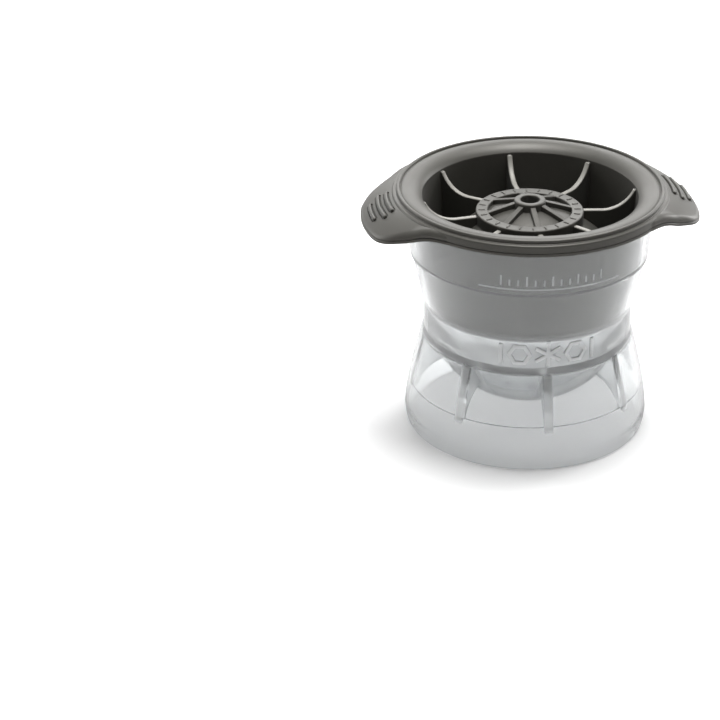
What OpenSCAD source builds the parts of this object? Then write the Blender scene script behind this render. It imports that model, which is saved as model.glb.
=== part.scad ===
// Mold for one round ice ball: a clear hourglass base with the lower half of the ball in it,
// and a soft cap whose plug closes it and holds the upper half.
// Millimetres, Z up. The origin is the middle of the flat foot, the finger tabs point along X,
// and the marked front of the base faces -Y.

/* [Ball] */
// diameter of the ice ball, the round hollow shared by the base and the cap
ball_d = 63.5; // [60:0.5:65]
// wall of the bowl that holds the lower half of the ball
bowl_wall = 3.3; // [2.4:0.1:3.4]
// wall of the dome that holds the upper half of the ball
dome_wall = 2.0; // [1.6:0.1:2.6]

/* [Base heights] */
// height of the plane where the cap meets the bowl, at the middle of the ball
parting_z = 44.4; // [43:0.2:46]
// height of the cup's rim, on which the cap's flange rests
rim_z = 80.3; // [79.5:0.1:81]
// height of the small step round the outside of the cup
step_z = 62.7; // [60:0.5:66]
// height at which the cup leaves the chamfer above the neck
chamfer_z = 48; // [47.4:0.2:50]
// height of the lower end of the straight neck
neck_low_z = 35.4; // [34:0.2:37]
// height at which the skirt leaves the corner under the neck
skirt_top_z = 33; // [31:0.5:33.6]
// height of the roof of the hollow under the bowl
hollow_top_z = 31; // [29:0.5:32]
// height of the widest place of the skirt
bulge_z = 5; // [3:0.5:8]
// height of the small ledge inside the skirt, where its wall gets thinner
ledge_z = 15; // [12:0.5:18]

/* [Base radii] */
// outer radius of the straight neck
neck_r = 35.1; // [34.9:0.1:36]
// outer radius of the cup where the chamfer ends
chamfer_r = 36.2; // [36:0.1:37.5]
// outer radius of the cup just under the step
under_step_r = 39.35; // [39:0.05:39.6]
// how far the outside stands proud at the step
step_out = 0.6; // [0.3:0.1:1]
// outer radius of the cup at its rim
rim_r = 41.1; // [40.8:0.1:41.6]
// outer radius of the skirt at its top corner
skirt_top_r = 36; // [35.6:0.1:36.6]
// outer radius of the skirt at its widest place
bulge_r = 41.4; // [41:0.1:42]
// outer radius of the foot
foot_r = 40.7; // [40:0.1:41]
// wall of the cup
cup_wall = 1.9; // [1.5:0.1:2.1]
// wall of the skirt above its inner ledge
skirt_wall = 2; // [1.6:0.1:2.2]
// wall of the skirt between its inner ledge and the foot
foot_wall = 1.3; // [1:0.1:1.5]

/* [Gussets under the bowl] */
// number of upright gussets between the bowl and the skirt
gusset_count = 8; // [6:1:10]
// thickness of each gusset
gusset_t = 2.8; // [2:0.1:3.2]
// radius of the hollow curve along each gusset's lower edge
gusset_curve_r = 14; // [12:0.5:16]

/* [Marks on the base] */
// depth of the marks sunk into the inside of the cup
mark_depth = 0.3; // [0.2:0.05:0.4]
// height of the level line above the step
fill_line_up = 2.6; // [2:0.1:4]
// half of the arc that the level line covers, in degrees
fill_line_half = 36; // [20:1:45]
// number of short strokes above the level line
stroke_count = 13; // [5:2:19]
// width of the level line and of each stroke
stroke_w = 0.6; // [0.4:0.1:0.8]
// length of each short stroke
stroke_long = 2.2; // [1.6:0.2:2.8]
// how far the plain ornament on the neck stands proud
motif_proud = 0.6; // [0.3:0.1:0.9]
// width of the ornament's lines
motif_line = 1.3; // [1:0.1:1.6]
// length of each arm of the ornament's star, and of its bars
motif_arm = 9.4; // [8:0.2:10]
// outer radius of the two six-sided outlines beside the star
motif_hex_r = 4; // [3:0.1:4.4]
// height of the ornament's middle
motif_z = 40.2; // [39:0.2:41]

/* [Cap flange and ring] */
// outer radius of the cap's round flange
flange_r = 46.1; // [45.9:0.1:47.5]
// thickness of the flange
flange_t = 3.8; // [3.2:0.1:4.2]
// radius of the flange's rounded upper edge
flange_edge_r = 1.9; // [1.2:0.1:2.2]
// outer radius of the raised ring on the flange
ring_r = 44.5; // [44:0.1:44.8]
// thickness of the rolled bead round the top of the ring
bead_t = 1.1; // [0.9:0.1:1.4]
// how far the bead's top, the highest place of the cap, stands above the flange
ring_up = 1.3; // [1.1:0.1:1.8]
// width and depth of the fine groove inside the bead
bead_groove = 0.35; // [0.2:0.05:0.45]
// radius of the well's rim
well_rim_r = 35.9; // [35.5:0.1:36.2]
// how far the rolled band round the well lies under the bead's top
band_down = 0.5; // [0.4:0.1:0.8]
// radius of the roll that carries the band down into the well
roll_r = 4.2; // [3.6:0.2:5.6]
// height of the thin lip along the flange's lower edge
lip_h = 0.9; // [0.6:0.1:1.2]
// depth of the fine groove above that lip
lip_groove = 0.35; // [0.2:0.05:0.5]

/* [Cap plug and well] */
// gap all round between the plug and the inside of the cup
plug_gap = 0.3; // [0.3:0.05:0.5]
// height of the bottom of the well
well_floor_z = 57; // [56:0.5:60]
// radius of the well at its bottom
well_floor_r = 33.4; // [33:0.1:33.8]
// number of upright ribs in the well
rib_count = 8; // [6:1:10]
// thickness of each rib in the well
rib_t = 1.7; // [1.3:0.1:2.2]
// how far the low part of a rib's top lies under the disc's face
rib_down = 1.6; // [1:0.1:2.4]
// radius of the sweep that carries a rib's top up to the well's rim
rib_sweep_r = 11; // [10:0.5:12]

/* [Cap disc and vent] */
// radius of the flat disc on top of the dome
disc_r = 18; // [17:0.5:19]
// how far the disc's face lies under the highest place of the dome
disc_down = 1.35; // [1:0.05:1.7]
// outer radius of the sunk part of the disc
sunk_r = 14; // [13:0.5:15]
// outer radius of the boss round the vent
boss_r = 5.3; // [5:0.1:6]
// how far the boss's face stands above the disc's face
boss_up = 3.7; // [3.2:0.1:4]
// radius of the vent hole
vent_r = 3.2; // [2.6:0.1:3.4]
// radius of the disc's rounded edge
disc_edge_r = 0.5; // [0.3:0.1:0.8]
// thickness of the small ribs between the boss and the disc
spoke_t = 1.9; // [1.2:0.1:2.4]
// number of short raised strokes on the disc's face
tick_count = 24; // [16:4:32]
// length of each raised stroke
tick_long = 2; // [1.2:0.2:2.6]
// width of each raised stroke
tick_wide = 0.6; // [0.4:0.1:0.9]
// how far each stroke stands proud
tick_high = 0.25; // [0.15:0.05:0.35]

/* [Finger tabs] */
// distance from the middle to the end of each tab
tab_reach = 56.5; // [55.5:0.5:57.5]
// distance from the middle to the middles of each tab's round corners
tab_corner_x = 41.4; // [40.8:0.1:41.6]
// distance of those middles from the line through both tabs
tab_corner_y = 7; // [6:0.2:7.6]
// radius of each tab's round corners
tab_corner_r = 14; // [13:0.2:14.2]
// direction in which each tab's straight sides face, in degrees from the line through both tabs
tab_side_turn = 55.3; // [54:0.5:57]
// length of each tab's straight sides, which run into the flange
tab_side = 18; // [17:0.5:19]
// how far the tabs slope down, in degrees
tab_droop = 27.5; // [22:0.5:30]
// thickness of each tab, measured upright
tab_t = 2.9; // [2.6:0.1:3.4]
// how far the tabs' upper face starts under the flange's top
tab_down = 0.6; // [0.4:0.1:0.9]
// radius of the grip ridge nearest to the ring
ridge_r = 48; // [47.8:0.1:48.2]
// distance between neighbouring grip ridges
ridge_step = 2.7; // [2.5:0.1:2.8]
// width of each grip ridge
ridge_w = 1.3; // [1:0.1:1.5]
// how far each grip ridge stands proud
ridge_proud = 0.7; // [0.4:0.1:0.9]
// halves of the arcs that the three grip ridges cover, in degrees
ridge_halves = [9.9, 10.4, 7.9]; // [6:0.1:11]
// how far the sunk slot round a ridge reaches beyond its ends, in degrees
slot_more = 0.9; // [0.6:0.1:1.2]

/* [Hidden] */
$fn = 96;
// a small overlap that joins solids and clears cuts
lap = 0.05;
// how far a solid runs into its neighbour, and a cut beyond the surface
root = 1;
// a length longer than anything on the part
far = 60;
ball_r = ball_d / 2;
bowl_r = ball_r + bowl_wall;
dome_r = ball_r + dome_wall;
// how much thinner the cup's wall is at the parting plane
seat_thinner = 0.2;
// height over which the inside of the cup widens at the step
step_rise = 1;
// size of the small chamfer round the foot
foot_chamfer = 0.5;
// radii of the cup's inside, from the parting plane up to the rim
seat_r = neck_r - cup_wall + seat_thinner;
inner_chamfer_r = chamfer_r - cup_wall;
inner_step_r = under_step_r - cup_wall;
inner_above_step_r = inner_step_r + step_out;
inner_rim_r = rim_r - cup_wall;
flange_top_z = rim_z + flange_t;
top_z = flange_top_z + ring_up;
band_z = top_z - band_down;
disc_z = parting_z + dome_r - disc_down;
boss_z = disc_z + boss_up;
rib_low_z = disc_z - rib_down;
// how far behind the well's wall the sweep of each rib's top would stand upright
rib_sweep_past = 0.3;
// radius at which a rib's top leaves the level and starts its sweep
rib_flat_r = well_rim_r - rib_sweep_r + rib_sweep_past;
// how far the ribs in the well run into its wall
rib_root = 0.4;
// how far the ribs end above the place where the roll meets the wall
rib_end_up = 1.3;
rib_end_z = band_z - roll_r + rib_end_up;
// the well's wall leans a little: its radius and height above the plug's step
well_low_r = well_rim_r - 1;
well_low_z = step_z + 2;
// the skirt is drawn with this many straight pieces
skirt_pieces = 12;
// widths of the sunk slots round the grip ridges
slot_w = ridge_w + 1;
slot_depth = 0.45;

// outer radius of the skirt, t running from 0 at its top to 1 at its widest place
function skirt_r(t) = skirt_top_r + (bulge_r - skirt_top_r) * (0.4 * t + 0.6 * sin(90 * t));
function skirt_z(t) = skirt_top_z + (bulge_z - skirt_top_z) * t;
// the part of the skirt at which its inner ledge lies
ledge_t = (skirt_top_z - ledge_z) / (skirt_top_z - bulge_z);
// the part of the skirt at which the roof of the hollow lies
roof_t = (skirt_top_z - hollow_top_z) / (skirt_top_z - bulge_z);

// half of the base's outside, as a slice from the axis outward
module base_outside() {
    polygon(concat(
        [[0, 0], [foot_r - foot_chamfer, 0], [foot_r, foot_chamfer]],
        [for (i = [skirt_pieces : -1 : 0]) [skirt_r(i / skirt_pieces), skirt_z(i / skirt_pieces)]],
        [[neck_r, neck_low_z], [neck_r, parting_z], [chamfer_r, chamfer_z], [under_step_r, step_z],
         [under_step_r + step_out, step_z], [rim_r, rim_z], [0, rim_z]]
    ));
}

// the inside of the cup above the parting plane, made larger all round by grow
module cup_inside(grow = 0, top = rim_z) {
    polygon([[0, parting_z], [seat_r + grow, parting_z], [inner_chamfer_r + grow, chamfer_z],
             [inner_step_r + grow, step_z], [inner_above_step_r + grow, step_z + step_rise],
             [inner_rim_r + grow, rim_z], [inner_rim_r + grow, top], [0, top]]);
}

// the ball's slice, radius r, from the axis outward
module ball_slice(r) {
    intersection() {
        translate([0, parting_z]) circle(r = r);
        square([far, far * 2]);
    }
}

// the hollow under the bowl, inside the skirt, without the gussets
module under_hollow() {
    difference() {
        polygon(concat(
            [[0, -lap], [foot_r - foot_wall, -lap]],
            [for (i = [skirt_pieces : -1 : 0]) if (i / skirt_pieces > ledge_t)
                [skirt_r(i / skirt_pieces) - foot_wall, skirt_z(i / skirt_pieces)]],
            [[skirt_r(ledge_t) - foot_wall, ledge_z], [skirt_r(ledge_t) - skirt_wall, ledge_z]],
            [for (i = [skirt_pieces : -1 : 0]) if (i / skirt_pieces < ledge_t && i / skirt_pieces > roof_t)
                [skirt_r(i / skirt_pieces) - skirt_wall, skirt_z(i / skirt_pieces)]],
            [[skirt_r(roof_t) - skirt_wall, hollow_top_z], [0, hollow_top_z]]
        ));
        ball_slice(bowl_r);
    }
}

// the gussets' plates: each reaches from the bowl to the skirt and has a hollow lower edge
module gussets() {
    inner_r = ball_r * 0.6;
    // how far the gussets reach down under the ledge
    under_ledge = 0.8;
    // how far the curve's middle lies inside the widest place of the skirt and under the ledge
    curve_in = gusset_curve_r + 4;
    curve_down = 4;
    for (i = [0 : gusset_count - 1])
        rotate([0, 0, i * 360 / gusset_count])
            rotate([90, 0, 0])
                translate([0, 0, -gusset_t / 2])
                    linear_extrude(height = gusset_t)
                        difference() {
                            translate([inner_r, ledge_z - under_ledge])
                                square([far - inner_r, far - ledge_z]);
                            translate([bulge_r - curve_in, ledge_z - curve_down])
                                circle(r = gusset_curve_r);
                        }
}

// sunk marks inside the cup: one level line and a row of plain strokes above it
module fill_marks() {
    line_z = step_z + fill_line_up;
    slope = (inner_rim_r - inner_above_step_r) / (rim_z - step_z - step_rise);
    line_r = inner_above_step_r + slope * (fill_line_up - step_rise);
    // the strokes stand above the line with a gap, in the middle three quarters of its arc
    stroke_gap = 1;
    stroke_turn = 0.75 * 2 * fill_line_half / stroke_count;
    // every third stroke is longer
    long_every = 3;
    longer = 1.6;
    rotate([0, 0, -90 - fill_line_half])
        rotate_extrude(angle = 2 * fill_line_half)
            translate([line_r - root, line_z]) square([root + mark_depth, stroke_w]);
    for (i = [0 : stroke_count - 1])
        rotate([0, 0, -90 + (i - (stroke_count - 1) / 2) * stroke_turn])
            translate([line_r - root, -stroke_w / 2, line_z + stroke_w + stroke_gap])
                cube([root + mark_depth, stroke_w, i % long_every == 0 ? stroke_long * longer : stroke_long]);
}

// flat shape of the plain ornament: a six-armed ice star between six-sided outlines and bars
module motif_shape() {
    hex_gap = 0.7;
    bar_gap = 2.2;
    bar_long = motif_arm * 0.75;
    hex_x = motif_arm / 2 + hex_gap + motif_hex_r;
    bar_x = hex_x + motif_hex_r + bar_gap;
    for (a = [0, 60, 120]) rotate(a) square([motif_line, motif_arm], center = true);
    for (side = [-1, 1]) {
        translate([side * hex_x, 0]) difference() {
            circle(r = motif_hex_r, $fn = 6);
            circle(r = motif_hex_r - motif_line, $fn = 6);
        }
        translate([side * bar_x, 0]) square([motif_line, bar_long], center = true);
    }
}

// the ornament as raised relief on the front of the neck
module motif() {
    // the relief runs a little into the neck, and a little above its upper end
    inside = 0.4;
    above = 2.5;
    intersection() {
        rotate([90, 0, 0]) translate([0, motif_z, 0]) linear_extrude(height = far) motif_shape();
        difference() {
            translate([0, 0, neck_low_z + lap * 2])
                cylinder(r = neck_r + motif_proud, h = parting_z - neck_low_z + above - lap * 2);
            translate([0, 0, neck_low_z - root]) cylinder(r = neck_r - inside, h = parting_z);
        }
    }
}

module base() {
    color([0.86, 0.88, 0.89, 0.4]) {
        difference() {
            union() {
                rotate_extrude() base_outside();
                motif();
            }
            rotate_extrude() cup_inside(0, rim_z + root);
            rotate_extrude() ball_slice(ball_r);
            difference() {
                rotate_extrude() under_hollow();
                gussets();
            }
            fill_marks();
        }
    }
}

// slice of the flange with its rounded upper edge and the fine groove above its lip
module flange_slice() {
    difference() {
        union() {
            translate([0, rim_z]) square([flange_r - flange_edge_r, flange_t]);
            translate([0, rim_z]) square([flange_r, flange_t - flange_edge_r]);
            translate([flange_r - flange_edge_r, flange_top_z - flange_edge_r]) circle(r = flange_edge_r);
        }
        translate([flange_r, rim_z + lip_h]) rotate(45) square(lip_groove * sqrt(2), center = true);
    }
}

// slice of the whole cap without its well: plug, flange, rolled band and bead
module cap_slice() {
    cup_inside(-plug_gap, rim_z + root);
    flange_slice();
    polygon([[0, rim_z], [ring_r, rim_z], [ring_r, top_z - bead_t / 2], [ring_r - bead_t, top_z - bead_t / 2],
             [ring_r - bead_t, band_z - bead_groove], [ring_r - bead_t - bead_groove, band_z - bead_groove],
             [ring_r - bead_t - 2 * bead_groove, band_z], [0, band_z]]);
    translate([ring_r - bead_t / 2, top_z - bead_t / 2]) circle(r = bead_t / 2);
}

// slice of the well between the dome and the plug's wall, with its rolled rim
module well_slice() {
    difference() {
        union() {
            polygon([[0, well_floor_z], [well_floor_r, well_floor_z], [well_low_r, well_low_z],
                     [well_rim_r, band_z - roll_r], [well_rim_r, top_z + root], [0, top_z + root]]);
            difference() {
                translate([0, band_z - roll_r]) square([well_rim_r + roll_r, roll_r + band_down + root]);
                translate([well_rim_r + roll_r, band_z - roll_r]) circle(r = roll_r);
            }
        }
        ball_slice(dome_r);
    }
}

// upright ribs in the well, low beside the disc and swept up to the rim
module well_ribs() {
    intersection() {
        rotate_extrude()
            difference() {
                polygon([[disc_r - root, well_floor_z - root], [well_floor_r + rib_root, well_floor_z - root],
                         [well_low_r + rib_root, well_low_z], [well_rim_r + rib_root, band_z - roll_r],
                         [well_rim_r + root, rib_end_z], [disc_r - root, rib_end_z]]);
                ball_slice(ball_r + dome_wall / 2);
            }
        for (i = [0 : rib_count - 1])
            rotate([0, 0, i * 360 / rib_count])
                rotate([90, 0, 0])
                    translate([0, 0, -rib_t / 2])
                        linear_extrude(height = rib_t)
                            difference() {
                                square([far, band_z]);
                                translate([0, rib_low_z]) square([rib_flat_r, far]);
                                translate([rib_flat_r, rib_low_z + rib_sweep_r]) circle(r = rib_sweep_r);
                            }
    }
}

// the disc on the dome, its sunk middle, the boss, the small spokes and the raised strokes
module disc() {
    sphere_cut = ball_r + dome_wall / 2;
    // the disc's solid runs down into the dome's wall, its sunk middle down to the dome
    disc_root = 8;
    sunk_down = 6;
    // the boss and the spokes run a little into the dome, the spokes also under the disc's inner edge
    boss_root = 2;
    spoke_root = 2.5;
    spoke_under = 0.6;
    spoke_down = 0.5;
    difference() {
        union() {
            translate([0, 0, disc_z - disc_root]) cylinder(r = disc_r, h = disc_root - disc_edge_r);
            translate([0, 0, disc_z - root]) cylinder(r = disc_r - disc_edge_r, h = root);
            translate([0, 0, disc_z - disc_edge_r]) rotate_extrude()
                translate([disc_r - disc_edge_r, 0]) circle(r = disc_edge_r);
        }
        difference() {
            translate([0, 0, disc_z - sunk_down]) cylinder(r = sunk_r, h = sunk_down + root);
            translate([0, 0, parting_z]) sphere(r = dome_r);
        }
        translate([0, 0, parting_z]) sphere(r = sphere_cut);
    }
    difference() {
        translate([0, 0, disc_z - boss_root]) cylinder(r = boss_r, h = boss_up + boss_root);
        translate([0, 0, parting_z]) sphere(r = sphere_cut);
    }
    for (i = [0 : rib_count - 1])
        rotate([0, 0, i * 360 / rib_count])
            rotate([90, 0, 0])
                translate([0, 0, -spoke_t / 2])
                    linear_extrude(height = spoke_t)
                        polygon([[boss_r - root, disc_z - spoke_root], [sunk_r + spoke_under, disc_z - spoke_root],
                                 [sunk_r + spoke_under, disc_z], [boss_r - root, boss_z - spoke_down]]);
    for (i = [0 : tick_count - 1])
        rotate([0, 0, (i + 0.5) * 360 / tick_count])
            translate([(disc_r + sunk_r - tick_long) / 2, -tick_wide / 2, disc_z - lap])
                cube([tick_long, tick_wide, tick_high + lap]);
}

// height of a tab's upper face at a distance from the middle
function tab_top(r) = flange_top_z - tab_down - tan(tab_droop) * (r - ring_r);

// points on an arc from one direction to another
function arc(x, y, r, from, to, steps) =
    [for (i = [0 : steps]) let (a = from + (to - from) * i / steps) [x + r * cos(a), y + r * sin(a)]];

// the radius of the flat curve at a tab's end, which meets both round corners smoothly
end_far = tab_corner_x - tab_reach;
end_r = (end_far * end_far + tab_corner_y * tab_corner_y - tab_corner_r * tab_corner_r)
    / (-2 * tab_corner_r - 2 * end_far);
end_turn = atan(tab_corner_y / (tab_corner_x - tab_reach + end_r));
// how finely the tab's end and corner curves are drawn
end_steps = 3;
corner_steps = 8;
corner_start = end_turn + 4;
// half of a tab's outline, drawn inside the true one by inset
function half_tab(inset) = concat(
    arc(tab_reach - end_r, 0, end_r - inset, 0, end_turn, end_steps),
    arc(tab_corner_x, tab_corner_y, tab_corner_r - inset, corner_start, tab_side_turn, corner_steps),
    [[tab_corner_x + (tab_corner_r - inset) * cos(tab_side_turn) - tab_side * sin(tab_side_turn),
      tab_corner_y + (tab_corner_r - inset) * sin(tab_side_turn) + tab_side * cos(tab_side_turn)],
     [tab_corner_x - tab_side, tab_corner_y]]
);

// a tab's outline, drawn inside the true one by inset
module tab_outline(inset) {
    half = half_tab(inset);
    polygon(concat(half, [for (i = [len(half) - 1 : -1 : 0]) [half[i][0], -half[i][1]]]));
}

// slice of the sloping tabs from a radius outward, between two distances above their lower face
module tab_slice(inner, low, high) {
    polygon([[inner, tab_top(inner) - tab_t + low], [far, tab_top(far) - tab_t + low],
             [far, tab_top(far) - tab_t + high], [inner, tab_top(inner) - tab_t + high]]);
}

// one grip ridge, a bar with a round top on the slope
module ridge(index) {
    r = ridge_r + index * ridge_step;
    half = ridge_halves[index];
    z = tab_top(r) + ridge_proud - ridge_w / 2;
    rotate([0, 0, -half])
        rotate_extrude(angle = 2 * half) {
            translate([r, z]) circle(r = ridge_w / 2);
            translate([r - ridge_w / 2, z - root]) square([ridge_w, root]);
        }
}

// the sunk slot round one grip ridge
module ridge_slot(index) {
    r = ridge_r + index * ridge_step;
    half = ridge_halves[index] + slot_more;
    rotate([0, 0, -half])
        rotate_extrude(angle = 2 * half)
            translate([r, tab_top(r)]) rotate(-tab_droop) square([slot_w, slot_depth * 2], center = true);
}

// one finger tab at +X, with its lip, slots and grip ridges
module tab() {
    // the lip and the thicker plate above it start a little inside the ring
    lip_inner_r = ring_r - 0.4;
    plate_inner_r = ring_r - 0.8;
    difference() {
        union() {
            intersection() {
                rotate_extrude() tab_slice(lip_inner_r, 0, lip_h);
                linear_extrude(height = top_z) tab_outline(0);
            }
            intersection() {
                rotate_extrude() tab_slice(plate_inner_r, lip_h / 2, tab_t);
                linear_extrude(height = top_z) tab_outline(lip_groove);
            }
        }
        for (i = [0 : len(ridge_halves) - 1]) ridge_slot(i);
    }
    for (i = [0 : len(ridge_halves) - 1]) ridge(i);
}

module cap() {
    color([0.23, 0.23, 0.22]) {
        difference() {
            union() {
                difference() {
                    union() {
                        rotate_extrude() cap_slice();
                        tab();
                        mirror([1, 0, 0]) tab();
                    }
                    rotate_extrude() well_slice();
                }
                well_ribs();
                disc();
            }
            rotate_extrude() ball_slice(ball_r);
            translate([0, 0, parting_z]) cylinder(r = vent_r, h = far);
        }
    }
}

base();
cap();
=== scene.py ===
"""Ice ball mold: a milky clear base and a dark silicone cap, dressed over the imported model.

Both pieces are single mouldings, so each is one closed mesh. It repeats the form of its solid with the
rolled edges, fine grooves and soft corners that such mouldings have.
"""
import math

import bmesh
import bpy
from mathutils import Matrix, Vector


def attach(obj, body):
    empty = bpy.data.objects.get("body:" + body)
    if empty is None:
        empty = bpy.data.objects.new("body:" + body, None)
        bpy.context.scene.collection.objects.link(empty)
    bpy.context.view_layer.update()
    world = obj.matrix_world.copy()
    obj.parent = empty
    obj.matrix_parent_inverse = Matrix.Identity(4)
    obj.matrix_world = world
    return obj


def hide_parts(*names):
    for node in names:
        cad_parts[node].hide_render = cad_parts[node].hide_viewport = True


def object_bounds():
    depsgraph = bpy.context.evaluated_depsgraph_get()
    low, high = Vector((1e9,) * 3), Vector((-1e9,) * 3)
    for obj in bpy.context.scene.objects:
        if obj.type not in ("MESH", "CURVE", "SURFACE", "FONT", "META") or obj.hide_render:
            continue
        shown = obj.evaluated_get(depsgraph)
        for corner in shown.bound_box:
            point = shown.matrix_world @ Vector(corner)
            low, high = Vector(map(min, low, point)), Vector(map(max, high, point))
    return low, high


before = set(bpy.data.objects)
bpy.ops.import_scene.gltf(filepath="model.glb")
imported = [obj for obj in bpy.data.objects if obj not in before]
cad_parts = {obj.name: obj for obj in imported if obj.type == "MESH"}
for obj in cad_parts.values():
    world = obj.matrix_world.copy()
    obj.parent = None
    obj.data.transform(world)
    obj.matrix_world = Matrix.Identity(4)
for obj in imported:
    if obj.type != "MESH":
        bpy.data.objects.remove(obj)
cad_low, cad_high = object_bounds()

MM = 0.001
# how finely round forms and small rounded edges are drawn
STEPS = 224
EDGE_STEPS = 4
ARC_STEP = math.radians(15)

# the sizes that both pieces share, in millimetres
PARTING_Z = 44.4
BALL_R = 31.75
RIM_Z = 80.3
STEP_Z = 62.7
WIDE_Z = STEP_Z + 1
NECK_TOP_Z = 48
RIBS = 8
# radii of the cup's inside: at the parting, over the neck, under and over the step, at the rim
CUP_LOW_R = 33.4
CUP_NECK_R = 34.3
CUP_STEP_R = 37.45
CUP_WIDE_R = 38.05
CUP_RIM_R = 39.2


# Camera

def make_camera():
    """The photograph's view, in the part's own frame: a long lens, looking down on the mold."""
    place = (-0.1545, -0.7271, 0.4025)
    heading, tilt, roll = math.radians(7.6), math.radians(27.25), math.radians(-0.48)
    ahead = Vector((math.sin(heading) * math.cos(tilt), math.cos(heading) * math.cos(tilt), -math.sin(tilt)))
    level = Vector((math.cos(heading), -math.sin(heading), 0))
    above = level.cross(ahead)
    right = level * math.cos(roll) + above * math.sin(roll)
    up = above * math.cos(roll) - level * math.sin(roll)
    data = bpy.data.cameras.new("camera")
    data.sensor_width = 36
    data.lens = 121.2
    data.clip_start, data.clip_end = 0.01, 20
    camera = bpy.data.objects.new("camera", data)
    bpy.context.collection.objects.link(camera)
    turned = Matrix((right, up, -ahead)).transposed().to_4x4()
    camera.matrix_world = Matrix.Translation(place) @ turned
    bpy.context.scene.camera = camera


make_camera()


# Mesh tools: every size is in millimetres

def mesh_object(name, verts, faces):
    """A mesh object from points in millimetres, with its faces turned outward."""
    mesh = bpy.data.meshes.new(name)
    mesh.from_pydata([tuple(c * MM for c in v) for v in verts], [], faces)
    form = bmesh.new()
    form.from_mesh(mesh)
    bmesh.ops.remove_doubles(form, verts=form.verts, dist=1e-7)
    bmesh.ops.recalc_face_normals(form, faces=form.faces)
    form.to_mesh(mesh)
    form.free()
    thing = bpy.data.objects.new(name, mesh)
    bpy.context.collection.objects.link(thing)
    return thing


def boolean(target, tool, operation):
    """Joins the tool to the target or cuts it out of it, and removes the tool."""
    step = target.modifiers.new("boolean", "BOOLEAN")
    step.operation = operation
    step.solver = "MANIFOLD"
    step.object = tool
    bpy.context.view_layer.update()
    made = bpy.data.meshes.new_from_object(target.evaluated_get(bpy.context.evaluated_depsgraph_get()))
    target.modifiers.clear()
    target.data = made
    bpy.data.objects.remove(tool)


def rounded(corners):
    """A closed outline through the corners (x, y, radius), with an arc at each corner that has a radius."""
    share_of_side = 0.48
    outline = []
    for i, (x, y, radius) in enumerate(corners):
        if not radius:
            outline.append((x, y))
            continue
        point = Vector((x, y))
        before = Vector(corners[i - 1][:2]) - point
        after = Vector(corners[(i + 1) % len(corners)][:2]) - point
        reach = share_of_side * min(before.length, after.length)
        before.normalize()
        after.normalize()
        half = before.angle(after) / 2
        radius = min(radius, reach * math.tan(half))
        centre = point + (before + after).normalized() * radius / math.sin(half)
        first = point + before * radius / math.tan(half) - centre
        turn = math.pi - 2 * half
        if first.angle_signed(point + after * radius / math.tan(half) - centre) > 0:
            turn = -turn
        count = max(2, round(abs(turn) / ARC_STEP))
        for k in range(count + 1):
            a = turn * k / count
            outline.append((centre.x + first.x * math.cos(a) - first.y * math.sin(a),
                            centre.y + first.x * math.sin(a) + first.y * math.cos(a)))
    return outline


def ball_arc(radius, start, end, count):
    """Corners on a circle round the middle of the ball, from one angle above the level to another."""
    angles = [math.radians(start + (end - start) * k / count) for k in range(count + 1)]
    return [(max(radius * math.cos(a), 0), PARTING_Z + radius * math.sin(a), 0) for a in angles]


def lathe(name, outline):
    """A closed solid: a closed outline (radius, height) turned round Z."""
    count = len(outline)
    on_axis = [r < 1e-6 for r, z in outline]
    verts, faces = [], []
    for k in range(STEPS):
        a = 2 * math.pi * k / STEPS
        verts += [(r * math.cos(a), r * math.sin(a), z) for r, z in outline]
    for k in range(STEPS):
        here, there = k * count, (k + 1) % STEPS * count
        for i in range(count):
            j = (i + 1) % count
            if on_axis[i] and on_axis[j]:
                continue
            quad = [here + i, here + j, there + j, there + i]
            if on_axis[i]:
                quad.remove(there + i)
            if on_axis[j]:
                quad.remove(there + j)
            faces.append(quad)
    return mesh_object(name, verts, faces)


def band(here, there, count):
    """The faces between two rings of points, each ring given by the number of its first point."""
    return [[here + i, here + (i + 1) % count, there + (i + 1) % count, there + i] for i in range(count)]


def sweep(name, rings):
    """A closed solid through rings of points, with its two ends filled."""
    count = len(rings[0])
    last = (len(rings) - 1) * count
    faces = []
    for start in range(0, last, count):
        faces += band(start, start + count, count)
    faces.append(list(range(count)))
    faces.append([last + i for i in range(count)])
    return mesh_object(name, [p for ring in rings for p in ring], faces)


def tube(name, rings):
    """A closed solid through rings of points that come back to the first ring."""
    count = len(rings[0])
    total = len(rings) * count
    faces = []
    for start in range(0, total, count):
        faces += band(start, (start + count) % total, count)
    return mesh_object(name, [p for ring in rings for p in ring], faces)


def plate(name, curve, far_side, thick, edge):
    """An upright plate in the XZ plane: its rounded edge follows the curve, its far side is far_side(x)."""
    up = 1 if far_side(curve[0][0]) < curve[0][1] else -1
    quarter = [math.pi / 2 * k / EDGE_STEPS for k in range(EDGE_STEPS + 1)]
    rings = []
    for s, (x, z) in enumerate(curve):
        ahead = Vector(curve[min(s + 1, len(curve) - 1)]) - Vector(curve[max(s - 1, 0)])
        normal = Vector((-ahead.y, ahead.x)).normalized()
        if normal.y * up < 0:
            normal = -normal
        ring = [(x, -thick / 2, far_side(x))]
        for side, angles in ((-1, quarter), (1, quarter[::-1])):
            for a in angles:
                drop = edge * (1 - math.sin(a))
                beside = thick / 2 - edge * (1 - math.cos(a))
                ring.append((x - normal.x * drop, side * beside, z - normal.y * drop))
        ring.append((x, thick / 2, far_side(x)))
        rings.append(ring)
    return sweep(name, rings)


def round_the_axis(thing, count, start=0.0):
    """Copies a piece evenly round Z, as one object; the first copy is turned by start, in degrees."""
    form = bmesh.new()
    for i in range(count):
        part = thing.data.copy()
        part.transform(Matrix.Rotation(math.radians(start) + 2 * math.pi * i / count, 4, "Z"))
        form.from_mesh(part)
        bpy.data.meshes.remove(part)
    form.to_mesh(thing.data)
    form.free()
    return thing


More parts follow.
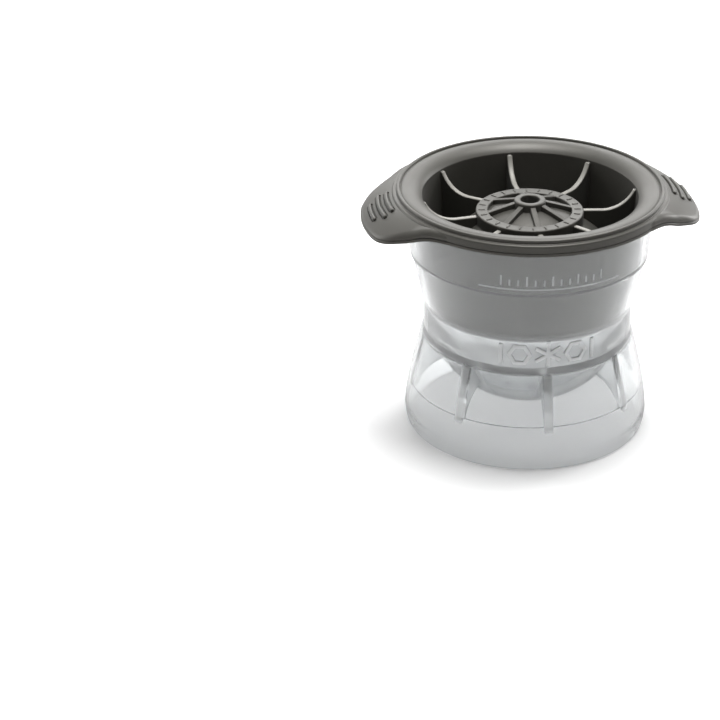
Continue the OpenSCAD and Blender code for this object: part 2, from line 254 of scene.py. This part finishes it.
def strip(name, path, width, low, high, radius_at, closed=False):
    """A line of relief on a round wall along the path (run, height), between two distances from the wall."""
    points = [Vector(p) for p in path]
    bevel = min(0.15, width / 4)
    # a sharp bend is widened to twice the width at most
    least_across = 0.5
    rings = []
    for i, p in enumerate(points):
        before = points[i - 1] if closed or i else p
        after = points[(i + 1) % len(points)] if closed or i < len(points) - 1 else p
        a = (p - before).normalized() if (p - before).length else (after - p).normalized()
        b = (after - p).normalized() if (after - p).length else a
        across = Vector((-(a + b).y, (a + b).x)).normalized()
        stretch = 1 / max(least_across, across.dot(Vector((-a.y, a.x))))
        ring = []
        for side, lift in ((-width / 2, low), (-width / 2, high - bevel), (bevel - width / 2, high),
                           (width / 2 - bevel, high), (width / 2, high - bevel), (width / 2, low)):
            run, height = p + across * side * stretch
            radius = radius_at(height)
            angle = run / radius - math.pi / 2
            ring.append(((radius + lift) * math.cos(angle), (radius + lift) * math.sin(angle), height))
        rings.append(ring)
    return tube(name, rings) if closed else sweep(name, rings)


def straight(start, end, count):
    """Points from start to end."""
    return [tuple(a + (b - a) * k / count for a, b in zip(start, end)) for k in range(count + 1)]


def smooth(value):
    """Runs from 0 to 1 with level ends."""
    value = min(1, max(0, value))
    return value * value * (3 - 2 * value)


def cup_wall(gap, low_edge, rim_edge):
    """Corners of the cup's inside from the parting to the rim, or of the plug that follows it with a gap."""
    return [(CUP_LOW_R - gap, PARTING_Z, low_edge), (CUP_NECK_R - gap, NECK_TOP_Z, 3),
            (CUP_STEP_R - gap, STEP_Z, 0.2), (CUP_WIDE_R - gap, WIDE_Z, 0.2),
            (CUP_RIM_R - gap, RIM_Z, rim_edge)]


def cup_wall_at(z):
    """The radius of the cup's inside above the step."""
    return CUP_WIDE_R + (CUP_RIM_R - CUP_WIDE_R) * (z - WIDE_Z) / (RIM_Z - WIDE_Z)


def finish_piece(thing, node, body, material):
    """Soft shading with crisp corners, the material, and the piece's place in the frame."""
    thing.data.materials.clear()
    thing.data.materials.append(material)
    thing.data.shade_smooth()
    thing.data.set_sharp_from_angle(angle=math.radians(34))
    weighted = thing.modifiers.new("weighted_normals", "WEIGHTED_NORMAL")
    weighted.keep_sharp = True
    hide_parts(node)
    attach(thing, body)


# Cap

PLUG_GAP = 0.3
FLANGE_R = 46.1
RING_R = 44.5
FLANGE_TOP_Z = RIM_Z + 3.8
TOP_Z = cad_high[2] / MM
CROWN_R = 41.4
CROWN_Z = 85
LIP_H = 0.9
WELL_R = 35.9
WELL_FLOOR_Z = 57
DOME_R = 33.75
DOME_MIDDLE_R = (BALL_R + DOME_R) / 2
DISC_R = 18
DISC_Z = 76.8
SUNK_R = 14
SUNK_Z = 75.1
BOSS_R = 5.3
BOSS_Z = 80.5
VENT_R = 3.2
RIB_W = 1.9
# a tab's upper face falls at this rate where it starts, and ever faster further out
TAB_FALL = 0.36
TAB_CURVE = 0.022
# grip ridges and the sunk slot beside each, and each one's radius and half length
RIDGE_W = 1.3
RIDGE_H = 0.75
SLOT_W = 0.5
SLOT_DEEP = 0.45
RIDGES = ((47.9, 7.7), (50.6, 8.9), (53.3, 6.2))


def crown():
    """Corners of the ring's top: a small round, a wide falling curve and a tight roll over the well's rim."""
    round_r, round_h = 1.5, 0.4
    wide, tight, change = 7, 0.6, math.radians(50)
    tight_z = CROWN_Z - wide + (wide - tight) * math.cos(change)
    corners = []
    for k in range(1, 6):
        a = ARC_STEP * k
        corners.append((CROWN_R + round_r * math.cos(a), CROWN_Z - round_h + round_h * math.sin(a), 0))
    for k in range(8):
        a = change * k / 8
        corners.append((CROWN_R - wide * math.sin(a), CROWN_Z - wide * (1 - math.cos(a)), 0))
    for k in range(7):
        a = change + (math.pi / 2 - change) * k / 6
        corners.append((WELL_R + tight * (1 - math.sin(a)), tight_z + tight * math.cos(a), 0))
    return corners


def cap_body():
    """The turned form of the cap: plug, flange, ring with its rolled bead, well, dome, disc and vent."""
    lip_z = RIM_Z + LIP_H
    flange = [(FLANGE_R, RIM_Z, 0.25), (FLANGE_R, lip_z, 0.15), (FLANGE_R - 0.4, lip_z + 0.2, 0.1),
              (FLANGE_R - 0.1, lip_z + 0.45, 0.15), (FLANGE_R - 0.1, FLANGE_TOP_Z, 1.9)]
    ring = [(RING_R, FLANGE_TOP_Z, 0.3), (RING_R, TOP_Z, 0.5), (RING_R - 1.1, TOP_Z, 0.45),
            (RING_R - 1.3, CROWN_Z - 0.5, 0.15)]
    # where the dome meets the well's floor, the disc and the boss
    dome_foot_r, disc_root_z, boss_root_z = 31.31, 72.95, 77.73
    well = [(34.9, STEP_Z + 2, 2), (33.4, WELL_FLOOR_Z, 0.8), (dome_foot_r, WELL_FLOOR_Z, 0.6)]
    disc = [(DISC_R, disc_root_z, 0.6), (DISC_R, DISC_Z, 0.5), (SUNK_R, DISC_Z, 0.4), (SUNK_R, SUNK_Z, 0.4)]
    boss = [(BOSS_R, boss_root_z, 0.4), (BOSS_R, BOSS_Z, 0.6), (VENT_R, BOSS_Z, 0.4)]
    ball = ball_arc(BALL_R, 84.21, 0, 40)
    low_dome = ball_arc(DOME_R, 22.5, 57, 16)
    high_dome = ball_arc(DOME_R, 66.5, 80.5, 6)
    outline = ball + cup_wall(PLUG_GAP, 0.4, 0.3) + flange + ring + crown() + well
    outline += low_dome + disc + high_dome + boss
    return lathe("cap_piece", rounded(outline))


def dome_middle(x):
    """Height of the middle of the dome's wall."""
    return PARTING_Z + math.sqrt(max(0, DOME_MIDDLE_R ** 2 - x * x))


def rib_root(x):
    """Height inside the dome's wall, under the well's floor or inside the well's wall, below a rib's top."""
    under_floor_z, wall_r = WELL_FLOOR_Z - 2, 34
    if x > wall_r:
        return under_floor_z + 15 * min(1, (x - wall_r) / 1.4)
    return max(under_floor_z, dome_middle(x))


def well_ribs():
    """The eight upright ribs, low beside the disc and swept up to the rolled rim of the well."""
    centre_x, centre_z, radius = 25.2, 86.2, 11
    start, sweep_up, end_z = -90, 65, 81.9
    curve = straight((16.8, DISC_Z - 1.1), (centre_x, DISC_Z - 1.6), 5)[:-1]
    for k in range(25):
        a = math.radians(start + sweep_up * k / 24)
        curve.append((centre_x + radius * math.cos(a), centre_z + radius * math.sin(a)))
    curve += [(36, end_z), (37.2, end_z)]
    return round_the_axis(plate("well_ribs", curve, rib_root, RIB_W, 0.55), RIBS)


def spokes():
    """The eight small ribs between the boss and the disc."""
    curve = straight((4.2, 79.9), (14.4, DISC_Z - 0.05), 8)
    return round_the_axis(plate("spokes", curve, dome_middle, RIB_W, 0.3), RIBS)


def ticks():
    """Short raised strokes on the disc's face."""
    rings = []
    for x, scale in ((14.9, 0.6), (15.05, 1), (16.95, 1), (17.1, 0.6)):
        half, high = 0.3 * scale, 0.25 * scale
        section = ((-half, -0.3), (-half, high * 0.6), (-half * 0.5, high),
                   (half * 0.5, high), (half, high * 0.6), (half, -0.3))
        rings.append([(x, side, DISC_Z + lift) for side, lift in section])
    return round_the_axis(sweep("ticks", rings), 24, start=7.5)


def tab_top(r, out=1.0):
    """Height of the flange's face, level where out is 0 and a tab's falling curve where it is 1."""
    beyond = r - RING_R
    return FLANGE_TOP_Z - out * (0.1 + TAB_FALL * beyond + TAB_CURVE * beyond * beyond)


def tab_lean(r, out=1.0):
    """How steeply that face falls, as an angle."""
    return math.atan(out * (TAB_FALL + 2 * TAB_CURVE * (r - RING_R)))


def tab_edge(turn):
    """Distance of a tab's edge from the axis, in a direction measured from the line through both tabs.

    The edge is a flat arc at the end, a round corner and a straight side.
    """
    reach, end_r = 56.45, 51.97
    corner, corner_r = Vector((41.4, 9)), 13.95
    side_turn = math.radians(55.3)
    side_way = Vector((math.cos(side_turn), math.sin(side_turn)))
    side_point = corner + corner_r * side_way
    end = Vector((reach - end_r, 0))
    end_point = corner + (corner - end).normalized() * corner_r
    away = abs(turn)
    if away < math.atan2(end_point.y, end_point.x):
        centre, radius = end, end_r
    elif away < math.atan2(side_point.y, side_point.x):
        centre, radius = corner, corner_r
    else:
        return side_point.dot(side_way) / math.cos(away - side_turn)
    along = centre.dot(Vector((math.cos(turn), math.sin(away))))
    return along + math.sqrt(radius ** 2 - (centre.length_squared - along ** 2))


def tab_section(turn):
    """Outline (radius, height) of a tab in one direction: upper face, rolled edge, lip and underside."""
    blend, start_r, root_r = 1.6, 43.9, 45
    under_fall, under_start_r = 0.47, 45.4
    roll_behind_lip, roll_above_lip = 0.12, 0.4
    edge = tab_edge(turn)
    near = max(0, 1 - abs(edge - FLANGE_R) / blend)
    edge = max(edge, FLANGE_R) + near * near * blend / 4
    out = smooth((edge - FLANGE_R) / 5)
    # beyond 40 degrees the section draws back into the flange
    edge -= 1.2 * smooth((math.degrees(abs(turn)) - 40) / 12)
    bottom = RIM_Z - under_fall * out * max(0, edge - under_start_r)
    lip_top = bottom + LIP_H
    roll = 1.9 + 1.6 * out
    centre_r = edge - roll_behind_lip - roll
    lean = tab_lean(centre_r + 0.4 * roll, out)
    touch_r = centre_r + roll * math.sin(lean)
    centre_z = tab_top(touch_r, out) - roll * math.cos(lean)
    low_z = max(centre_z, lip_top + roll_above_lip)
    section = []
    for i in range(12):
        r = start_r + (touch_r - start_r) * i / 12
        section.append((r, tab_top(r, out)))
    first = math.pi / 2 - lean
    last = math.asin(min(1, (low_z - centre_z) / roll))
    for i in range(13):
        a = first + (last - first) * i / 12
        section.append((centre_r + roll * math.cos(a), centre_z + roll * math.sin(a)))
    section += [(edge - 0.42, lip_top + 0.18), (edge - 0.1, lip_top), (edge, lip_top - 0.15),
                (edge, bottom + 0.2), (edge - 0.2, bottom)]
    for i in range(1, 6):
        section.append((edge - 0.2 + (root_r - edge) * i / 5, bottom + (RIM_Z + 0.02 - bottom) * i / 5))
    section.append((start_r, RIM_Z + 0.4))
    return section


def tab(name, facing):
    """One finger tab: a falling tongue whose rolled edge and thin lip run on from the flange's."""
    count, half_turn = 176, 52
    rings = []
    for k in range(count + 1):
        turn = math.radians(-half_turn + 2 * half_turn * k / count)
        way = turn + facing
        rings.append([(r * math.cos(way), r * math.sin(way), z) for r, z in tab_section(turn)])
    return sweep(name, rings)


def along_tab(name, facing, radius, half_length, width, profile):
    """A bar with round ends along an arc on a tab; the profile gives its section (side, lift) for a scale."""
    least_scale = 0.08
    lean = tab_lean(radius)
    out, up = Vector((math.cos(lean), -math.sin(lean))), Vector((math.sin(lean), math.cos(lean)))
    flat = Vector((radius, tab_top(radius)))
    ends = [(half_length - width / 2 * (1 - math.sin(ARC_STEP * k)), max(least_scale, math.cos(ARC_STEP * k)))
            for k in range(7)]
    middle = [((half_length - width / 2) * (k / 5 - 1), 1) for k in range(1, 10)]
    rings = []
    for run, scale in [(-run, scale) for run, scale in reversed(ends)] + middle + ends:
        turn = run / radius + facing
        points = [flat + out * side + up * lift for side, lift in profile(scale)]
        rings.append([(p.x * math.cos(turn), p.x * math.sin(turn), p.y) for p in points])
    return sweep(name, rings)


def ridge_profile(scale):
    """Section of a grip ridge: straight sides in the tab, a round top above it."""
    half, high = RIDGE_W / 2 * scale, RIDGE_H * (0.3 + 0.7 * math.sqrt(scale))
    top = [(-math.cos(a) * half, high * math.sin(a) ** 0.7) for a in (math.pi * k / 12 for k in range(13))]
    return [(-half, -1)] + top + [(half, -1)]


def slot_profile(scale):
    """Section of the sunk slot round a grip ridge."""
    half, low, high = (RIDGE_W / 2 + SLOT_W) * scale, -SLOT_DEEP, 2
    return [(-half, high), (-half, low + 0.2), (-half * 0.8, low), (half * 0.8, low), (half, low + 0.2),
            (half, high)]


def cap_piece():
    """The whole cap as one moulding."""
    cap = cap_body()
    boolean(cap, well_ribs(), "UNION")
    boolean(cap, spokes(), "UNION")
    boolean(cap, ticks(), "UNION")
    for facing in (0, math.pi):
        tongue = tab("tab", facing)
        for radius, half_length in RIDGES:
            slot = along_tab("slot", facing, radius, half_length + SLOT_W, RIDGE_W + 2 * SLOT_W, slot_profile)
            boolean(tongue, slot, "DIFFERENCE")
            boolean(tongue, along_tab("ridge", facing, radius, half_length, RIDGE_W, ridge_profile), "UNION")
        boolean(cap, tongue, "UNION")
    cap.name = "cap_piece"
    return cap


# Base

NECK_R = 35.1
NECK_TOP_R = 36.2
NECK_LOW_Z = 35.4
RIM_OUT_R = 41.1
STEP_OUT_R = 39.95
UNDER_STEP_R = 39.35
# the skirt's outside at its top and at its widest place, and its wall under and over the inner ledge
SKIRT_TOP_R = 36
SKIRT_TOP_Z = 33
BULGE_R = 41.4
BULGE_Z = 5
LOW_WALL = 1.3
HIGH_WALL = 2
LEDGE_Z = 15
ROOF_Z = 32
BOWL_R = 35.05
BOWL_MIDDLE_R = (BALL_R + BOWL_R) / 2
GUSSET_W = 2.8


def skirt_at(z):
    """The skirt's outer radius at a height, from its top down to its widest place."""
    down = (SKIRT_TOP_Z - z) / (SKIRT_TOP_Z - BULGE_Z)
    return SKIRT_TOP_R + (BULGE_R - SKIRT_TOP_R) * (0.4 * down + 0.6 * math.sin(math.pi / 2 * down))


def skirt_height(radius):
    """The height at which the skirt's outside has a radius, found by halving."""
    low, high = BULGE_Z, SKIRT_TOP_Z
    for _ in range(30):
        middle = (low + high) / 2
        if skirt_at(middle) > radius:
            low = middle
        else:
            high = middle
    return middle


def base_body():
    """The turned form of the base: cup, step, neck, bowl and hollow skirt with its inner ledge."""
    outside = [(RIM_OUT_R, RIM_Z, 0.45), (STEP_OUT_R, STEP_Z, 0.25), (UNDER_STEP_R, STEP_Z, 0.12),
               (NECK_TOP_R, NECK_TOP_Z, 2.5), (NECK_R, PARTING_Z, 1.2), (NECK_R, NECK_LOW_Z, 1),
               (SKIRT_TOP_R, SKIRT_TOP_Z, 1)]
    # the bell's curve starts just under the corner at the skirt's top
    bell_start = 0.04
    bell = []
    for k in range(25):
        z = SKIRT_TOP_Z + (BULGE_Z - SKIRT_TOP_Z) * (bell_start + (1 - bell_start) * k / 24)
        bell.append((skirt_at(z), z, 0))
    foot = [(41.1, 2, 2), (40.75, 0.7, 0.8), (40.4, 0, 0.3), (39.4, 0, 0.3)]
    low_wall = [(skirt_at(z) - LOW_WALL, z, 0) for z in range(BULGE_Z, LEDGE_Z, 2)]
    ledge = [(skirt_at(LEDGE_Z) - LOW_WALL, LEDGE_Z, 0.2), (skirt_at(LEDGE_Z) - HIGH_WALL, LEDGE_Z, 0.2)]
    high_wall = [(skirt_at(z) - HIGH_WALL, z, 0) for z in range(LEDGE_Z + 2, 30, 2)]
    bowl_edge_r = math.sqrt(BOWL_R ** 2 - (PARTING_Z - ROOF_Z) ** 2)
    roof = [(skirt_at(ROOF_Z) - HIGH_WALL, ROOF_Z, 0.5), (bowl_edge_r, ROOF_Z, 0.5)]
    outline = ball_arc(BALL_R, -90, 0, 48) + cup_wall(0, 0.25, 0.45) + outside + bell + foot
    outline += low_wall + ledge + high_wall + roof + ball_arc(BOWL_R, -22, -90, 40)
    return lathe("base_piece", rounded(outline))


def gusset_root(x):
    """Height inside the wall of the bowl, the roof or the skirt above a gusset's lower edge."""
    in_roof_z, skirt_from_r, into_skirt = ROOF_Z + 0.3, 34.5, 1
    if x > skirt_from_r:
        return min(in_roof_z, skirt_height(x + into_skirt))
    return min(in_roof_z, PARTING_Z - math.sqrt(max(0, BOWL_MIDDLE_R ** 2 - x * x)))


def gussets():
    """The eight gussets between the skirt and the bowl, each with a hollow lower edge."""
    centre_x, centre_z, radius = 23.4, 11, 14
    start_x, end_x, end_z = 28, 39.1, LEDGE_Z - 0.8
    start, end = math.acos((start_x - centre_x) / radius), math.asin((end_z - centre_z) / radius)
    curve = []
    for k in range(21):
        a = start + (end - start) * k / 20
        curve.append((centre_x + radius * math.cos(a), centre_z + radius * math.sin(a)))
    curve += straight(curve[-1], (end_x, end_z), 3)[1:]
    return round_the_axis(plate("gussets", curve, gusset_root, GUSSET_W, 0.45), RIBS)


def fill_marks():
    """Cutters for the level line and the plain strokes above it, sunk into the inside of the cup."""
    width, deep, inside = 0.6, 0.3, -1
    half_turn, share_with_strokes = math.radians(36), 0.69
    long_stroke, short_stroke = 3.5, 2.2
    line_z = STEP_Z + 2.9
    stroke_z = line_z + 1.3
    half = half_turn * cup_wall_at(line_z)
    level_line = straight((-half, line_z), (half, line_z), 48)
    marks = [strip("level_line", level_line, width, inside, deep, cup_wall_at)]
    for i in range(-6, 7):
        run = i * half / 6 * share_with_strokes
        top = stroke_z + (long_stroke if i % 3 == 0 else short_stroke)
        marks.append(strip("stroke", [(run, stroke_z), (run, top)], width, inside, deep, cup_wall_at))
    return marks


def neck_wall_at(z):
    """The outer radius of the neck, which widens above the parting."""
    return NECK_R + max(0, z - PARTING_Z) * (NECK_TOP_R - NECK_R) / (NECK_TOP_Z - PARTING_Z)


def ornament_line(name, path, closed=False):
    """A raised line of the ornament along the path (run, height) on the neck."""
    width, inside, proud = 1.3, -0.5, 0.6
    return strip(name, path, width, inside, proud, neck_wall_at, closed)


def ornament():
    """The plain ornament on the neck: a six-armed ice star between six-sided outlines and bars."""
    middle, arm_l = 40.2, 4.7
    hexagon_r, hexagon_run = 3.35, 9.4
    bar_half, bar_run = 3.5, 15.6
    lines = []
    for k in range(3):
        a = math.radians(90 + 60 * k)
        arm = Vector((math.cos(a), math.sin(a))) * arm_l
        lines.append(ornament_line("arm", straight((-arm.x, middle - arm.y), (arm.x, middle + arm.y), 6)))
    for side in (-1, 1):
        hexagon = []
        for k in range(6):
            a = math.radians(60 * k)
            hexagon.append((side * hexagon_run + hexagon_r * math.cos(a), middle + hexagon_r * math.sin(a)))
        lines.append(ornament_line("hexagon", hexagon, closed=True))
        bar = straight((side * bar_run, middle - bar_half), (side * bar_run, middle + bar_half), 4)
        lines.append(ornament_line("bar", bar))
    return lines


def base_piece():
    """The whole base as one moulding."""
    base = base_body()
    boolean(base, gussets(), "UNION")
    for mark in fill_marks():
        boolean(base, mark, "DIFFERENCE")
    for line in ornament():
        boolean(base, line, "UNION")
    base.name = "base_piece"
    return base


# Materials

def new_material(name):
    """A new material, with its nodes and its links."""
    material = bpy.data.materials.new(name)
    material.use_nodes = True
    return material, material.node_tree.nodes, material.node_tree.links


def noise(nodes, scale, detail=3.0):
    """A noise texture."""
    texture = nodes.new("ShaderNodeTexNoise")
    texture.inputs["Scale"].default_value = scale
    texture.inputs["Detail"].default_value = detail
    return texture


def spread(nodes, links, source, low, high):
    """The source's middle range stretched to run from low to high."""
    node = nodes.new("ShaderNodeMapRange")
    for socket, value in (("From Min", 0.3), ("From Max", 0.7), ("To Min", low), ("To Max", high)):
        node.inputs[socket].default_value = value
    links.new(source, node.inputs["Value"])
    return node.outputs[0]


def blend_colours(nodes, links, share, first, second):
    """A colour between the first and the second, each a colour or a socket, by the share of the second."""
    mix = nodes.new("ShaderNodeMix")
    mix.data_type = "RGBA"
    links.new(share, mix.inputs[0])
    for socket, colour in ((mix.inputs[6], first), (mix.inputs[7], second)):
        if isinstance(colour, tuple):
            socket.default_value = (*colour, 1)
        else:
            links.new(colour, socket)
    return mix.outputs[2]


def bump(nodes, links, height, strength, distance):
    """A normal bent by the height; the distance is in metres."""
    node = nodes.new("ShaderNodeBump")
    node.inputs["Strength"].default_value = strength
    node.inputs["Distance"].default_value = distance
    links.new(height, node.inputs["Height"])
    return node.outputs["Normal"]


def object_place(nodes):
    """The place on the piece, in metres."""
    return nodes.new("ShaderNodeTexCoord").outputs["Object"]


def maths(nodes, links, operation, first, second=0.0):
    """One step of arithmetic; each value is a number or a socket."""
    node = nodes.new("ShaderNodeMath")
    node.operation = operation
    for socket, value in zip(node.inputs, (first, second)):
        if isinstance(value, (int, float)):
            socket.default_value = value
        else:
            links.new(value, socket)
    return node.outputs[0]


def between(nodes, links, value, low, high, soft):
    """1 where the value lies between two sizes in millimetres, falling to 0 outside within a soft edge."""
    shares = []
    for start, end in ((low - soft, low), (high + soft, high)):
        ramp = nodes.new("ShaderNodeMapRange")
        ramp.inputs["From Min"].default_value = start * MM
        ramp.inputs["From Max"].default_value = end * MM
        links.new(value, ramp.inputs["Value"])
        shares.append(ramp.outputs[0])
    return maths(nodes, links, "MULTIPLY", *shares)


def band_product(nodes, links, bands):
    """The product of several between() masks."""
    share = None
    for value, low, high, soft in bands:
        mask = between(nodes, links, value, low, high, soft)
        share = mask if share is None else maths(nodes, links, "MULTIPLY", share, mask)
    return share


def gusset_place(nodes, links, place):
    """Distance from the axis, distance from the nearest plane of ribs and gussets, and height."""
    axes = nodes.new("ShaderNodeSeparateXYZ")
    links.new(place, axes.inputs[0])
    x, y, z = axes.outputs
    x_squared = maths(nodes, links, "MULTIPLY", x, x)
    y_squared = maths(nodes, links, "MULTIPLY", y, y)
    radius = maths(nodes, links, "SQRT", maths(nodes, links, "ADD", x_squared, y_squared))
    turns = maths(nodes, links, "MULTIPLY", maths(nodes, links, "ARCTAN2", y, x), RIBS / 2)
    wave = maths(nodes, links, "ABSOLUTE", maths(nodes, links, "SINE", turns))
    beside = maths(nodes, links, "MULTIPLY", wave, maths(nodes, links, "MULTIPLY", radius, 2 / RIBS))
    return radius, beside, z


def silicone():
    """Dark grey silicone: matte, with a painted highlight that lightens the tops of the ribs, and a very fine
    moulded grain.
    """
    material, nodes, links = new_material("silicone")
    shader = nodes["Principled BSDF"]
    place = object_place(nodes)
    bloom, grain = noise(nodes, 60), noise(nodes, 2600, 2)
    links.new(place, bloom.inputs["Vector"])
    links.new(place, grain.inputs["Vector"])
    body = blend_colours(nodes, links, bloom.outputs[0], (0.050, 0.0485, 0.042), (0.062, 0.060, 0.052))
    radius, beside, height = gusset_place(nodes, links, place)
    # painted highlight: the tops of the well ribs get a much lighter colour that stands in for the light they
    # catch
    rib_highlight_bands = ((beside, -2, 0.8, 0.1), (radius, 18.4, 35.2, 0.4), (height, 74, 83, 0.5))
    rib_top_highlight = band_product(nodes, links, rib_highlight_bands)
    painted_rib_highlight = blend_colours(nodes, links, rib_top_highlight, body, (0.30, 0.292, 0.265))
    links.new(painted_rib_highlight, shader.inputs["Base Color"])
    links.new(spread(nodes, links, bloom.outputs[0], 0.41, 0.49), shader.inputs["Roughness"])
    links.new(bump(nodes, links, grain.outputs[0], 0.12, 0.0001), shader.inputs["Normal"])
    shader.inputs["Specular IOR Level"].default_value = 0.6
    shader.inputs["Specular Tint"].default_value = (1, 0.97, 0.92, 1)
    shader.inputs["Sheen Weight"].default_value = 0.04
    shader.inputs["Sheen Roughness"].default_value = 0.4
    return material


def outside_cup_wall(nodes, links, radius, z):
    """Distance outside the inner wall of the cup above its step, in metres."""
    slope = (cup_wall_at(RIM_Z) - cup_wall_at(STEP_Z)) / (RIM_Z - STEP_Z)
    wall = maths(nodes, links, "MULTIPLY_ADD", z, slope)
    wall.node.inputs[2].default_value = (cup_wall_at(STEP_Z) - slope * STEP_Z) * MM
    return maths(nodes, links, "SUBTRACT", radius, wall)


def clear_plastic():
    """Clear plastic with a milky haze, thicker in the neck and the gussets, and frosted marks."""
    material, nodes, links = new_material("clear_plastic")
    shader = nodes["Principled BSDF"]
    place = object_place(nodes)
    haze, flow = noise(nodes, 45), noise(nodes, 16, 1)
    links.new(place, haze.inputs["Vector"])
    links.new(place, flow.inputs["Vector"])
    radius, beside, z = gusset_place(nodes, links, place)
    into_wall = outside_cup_wall(nodes, links, radius, z)
    neck = [(z, 34, 45, 2.5)]
    gusset = [(beside, -2, 1.4, 0.2), (z, 14, 32, 1)]
    marks = [(into_wall, 0.12, 0.6, 0.08), (z, STEP_Z + 2, STEP_Z + 9, 0.3)]
    relief = [(radius, NECK_R + 0.3, NECK_R + 2, 0.1), (z, 36.2, 44.3, 0.2)]
    clearness = spread(nodes, links, haze.outputs[0], 0.92, 0.89)
    for share, bands in ((0.26, neck), (0.25, gusset), (0.45, marks), (0.3, relief)):
        thick = maths(nodes, links, "MULTIPLY", band_product(nodes, links, bands), share)
        clearness = maths(nodes, links, "SUBTRACT", clearness, thick)
    links.new(clearness, shader.inputs["Transmission Weight"])
    colour = blend_colours(nodes, links, haze.outputs[0], (0.89, 0.905, 0.91), (0.92, 0.93, 0.935))
    links.new(colour, shader.inputs["Base Color"])
    links.new(spread(nodes, links, haze.outputs[0], 0.07, 0.11), shader.inputs["Roughness"])
    links.new(bump(nodes, links, flow.outputs[0], 0.15, 0.002), shader.inputs["Normal"])
    shader.inputs["IOR"].default_value = 1.49
    return material


finish_piece(cap_piece(), "cap", "cap", silicone())
finish_piece(base_piece(), "base", "base", clear_plastic())


# Light and floor

def seen_directly(nodes, links):
    """1 for what the camera sees itself or through the clear plastic, otherwise 0."""
    path = nodes.new("ShaderNodeLightPath")
    return maths(nodes, links, "MAXIMUM", path.outputs["Is Camera Ray"], path.outputs["Is Transmission Ray"])


def make_world():
    """White to the eye. As light it is bright behind the mold, like a white wall, and dim in front."""
    world = bpy.data.worlds.new("world")
    bpy.context.scene.world = world
    world.use_nodes = True
    nodes, links = world.node_tree.nodes, world.node_tree.links
    shade = nodes["Background"]
    shade.inputs["Color"].default_value = (1, 1, 1, 1)
    way = nodes.new("ShaderNodeSeparateXYZ")
    links.new(nodes.new("ShaderNodeTexCoord").outputs["Generated"], way.inputs[0])
    wall = nodes.new("ShaderNodeMapRange")
    wall.interpolation_type = "SMOOTHSTEP"
    for socket, value in (("From Min", -0.3), ("From Max", 0.8), ("To Min", 0.18), ("To Max", 0.95)):
        wall.inputs[socket].default_value = value
    links.new(way.outputs["Y"], wall.inputs["Value"])
    strength = maths(nodes, links, "MAXIMUM", seen_directly(nodes, links), wall.outputs[0])
    links.new(strength, shade.inputs["Strength"])


def make_floor():
    """A white floor that catches the shadow; from below it is clear, so that the foot can be seen."""
    mesh = bpy.data.meshes.new("floor")
    half, low = 1.1, -0.0001
    corners = [(-half, -half, low), (half, -half, low), (half, half, low), (-half, half, low)]
    mesh.from_pydata(corners, [], [(0, 1, 2, 3)])
    floor = bpy.data.objects.new("floor", mesh)
    bpy.context.collection.objects.link(floor)
    material, nodes, links = new_material("floor")
    shader = nodes["Principled BSDF"]
    seen = seen_directly(nodes, links)
    colour = blend_colours(nodes, links, seen, (0.6, 0.6, 0.6), (0.96, 0.96, 0.96))
    links.new(colour, shader.inputs["Base Color"])
    shader.inputs["Emission Color"].default_value = (1, 1, 1, 1)
    links.new(maths(nodes, links, "MULTIPLY", seen, 0.14), shader.inputs["Emission Strength"])
    shader.inputs["Roughness"].default_value = 0.8
    side = nodes.new("ShaderNodeMixShader")
    links.new(nodes.new("ShaderNodeNewGeometry").outputs["Backfacing"], side.inputs[0])
    links.new(shader.outputs[0], side.inputs[1])
    links.new(nodes.new("ShaderNodeBsdfTransparent").outputs[0], side.inputs[2])
    links.new(side.outputs[0], nodes["Material Output"].inputs["Surface"])
    mesh.materials.append(material)


def area_light(name, place, aim_z, size, power):
    """A rectangular lamp that looks at a height on the axis."""
    data = bpy.data.lights.new(name, "AREA")
    data.shape = "RECTANGLE"
    data.size, data.size_y = size
    data.energy = power
    light = bpy.data.objects.new(name, data)
    bpy.context.collection.objects.link(light)
    light.location = place
    light.rotation_euler = (Vector((0, 0, aim_z)) - Vector(place)).to_track_quat("-Z", "Y").to_euler()


def make_lamps():
    """A soft lamp above, a wide one behind, and two small ones at the sides."""
    area_light("top", (0.12, 0.1, 1.4), 0.05, (0.7, 0.7), 22)
    area_light("back", (0.25, 1.5, 0.8), 0.05, (1.6, 0.7), 11)
    area_light("right", (0.85, 0.45, 0.25), 0.04, (0.25, 0.45), 3.5)
    area_light("left", (-0.85, 0.5, 0.22), 0.04, (0.2, 0.4), 2)


make_world()
make_floor()
make_lamps()
bpy.context.scene.view_settings.view_transform = "Standard"
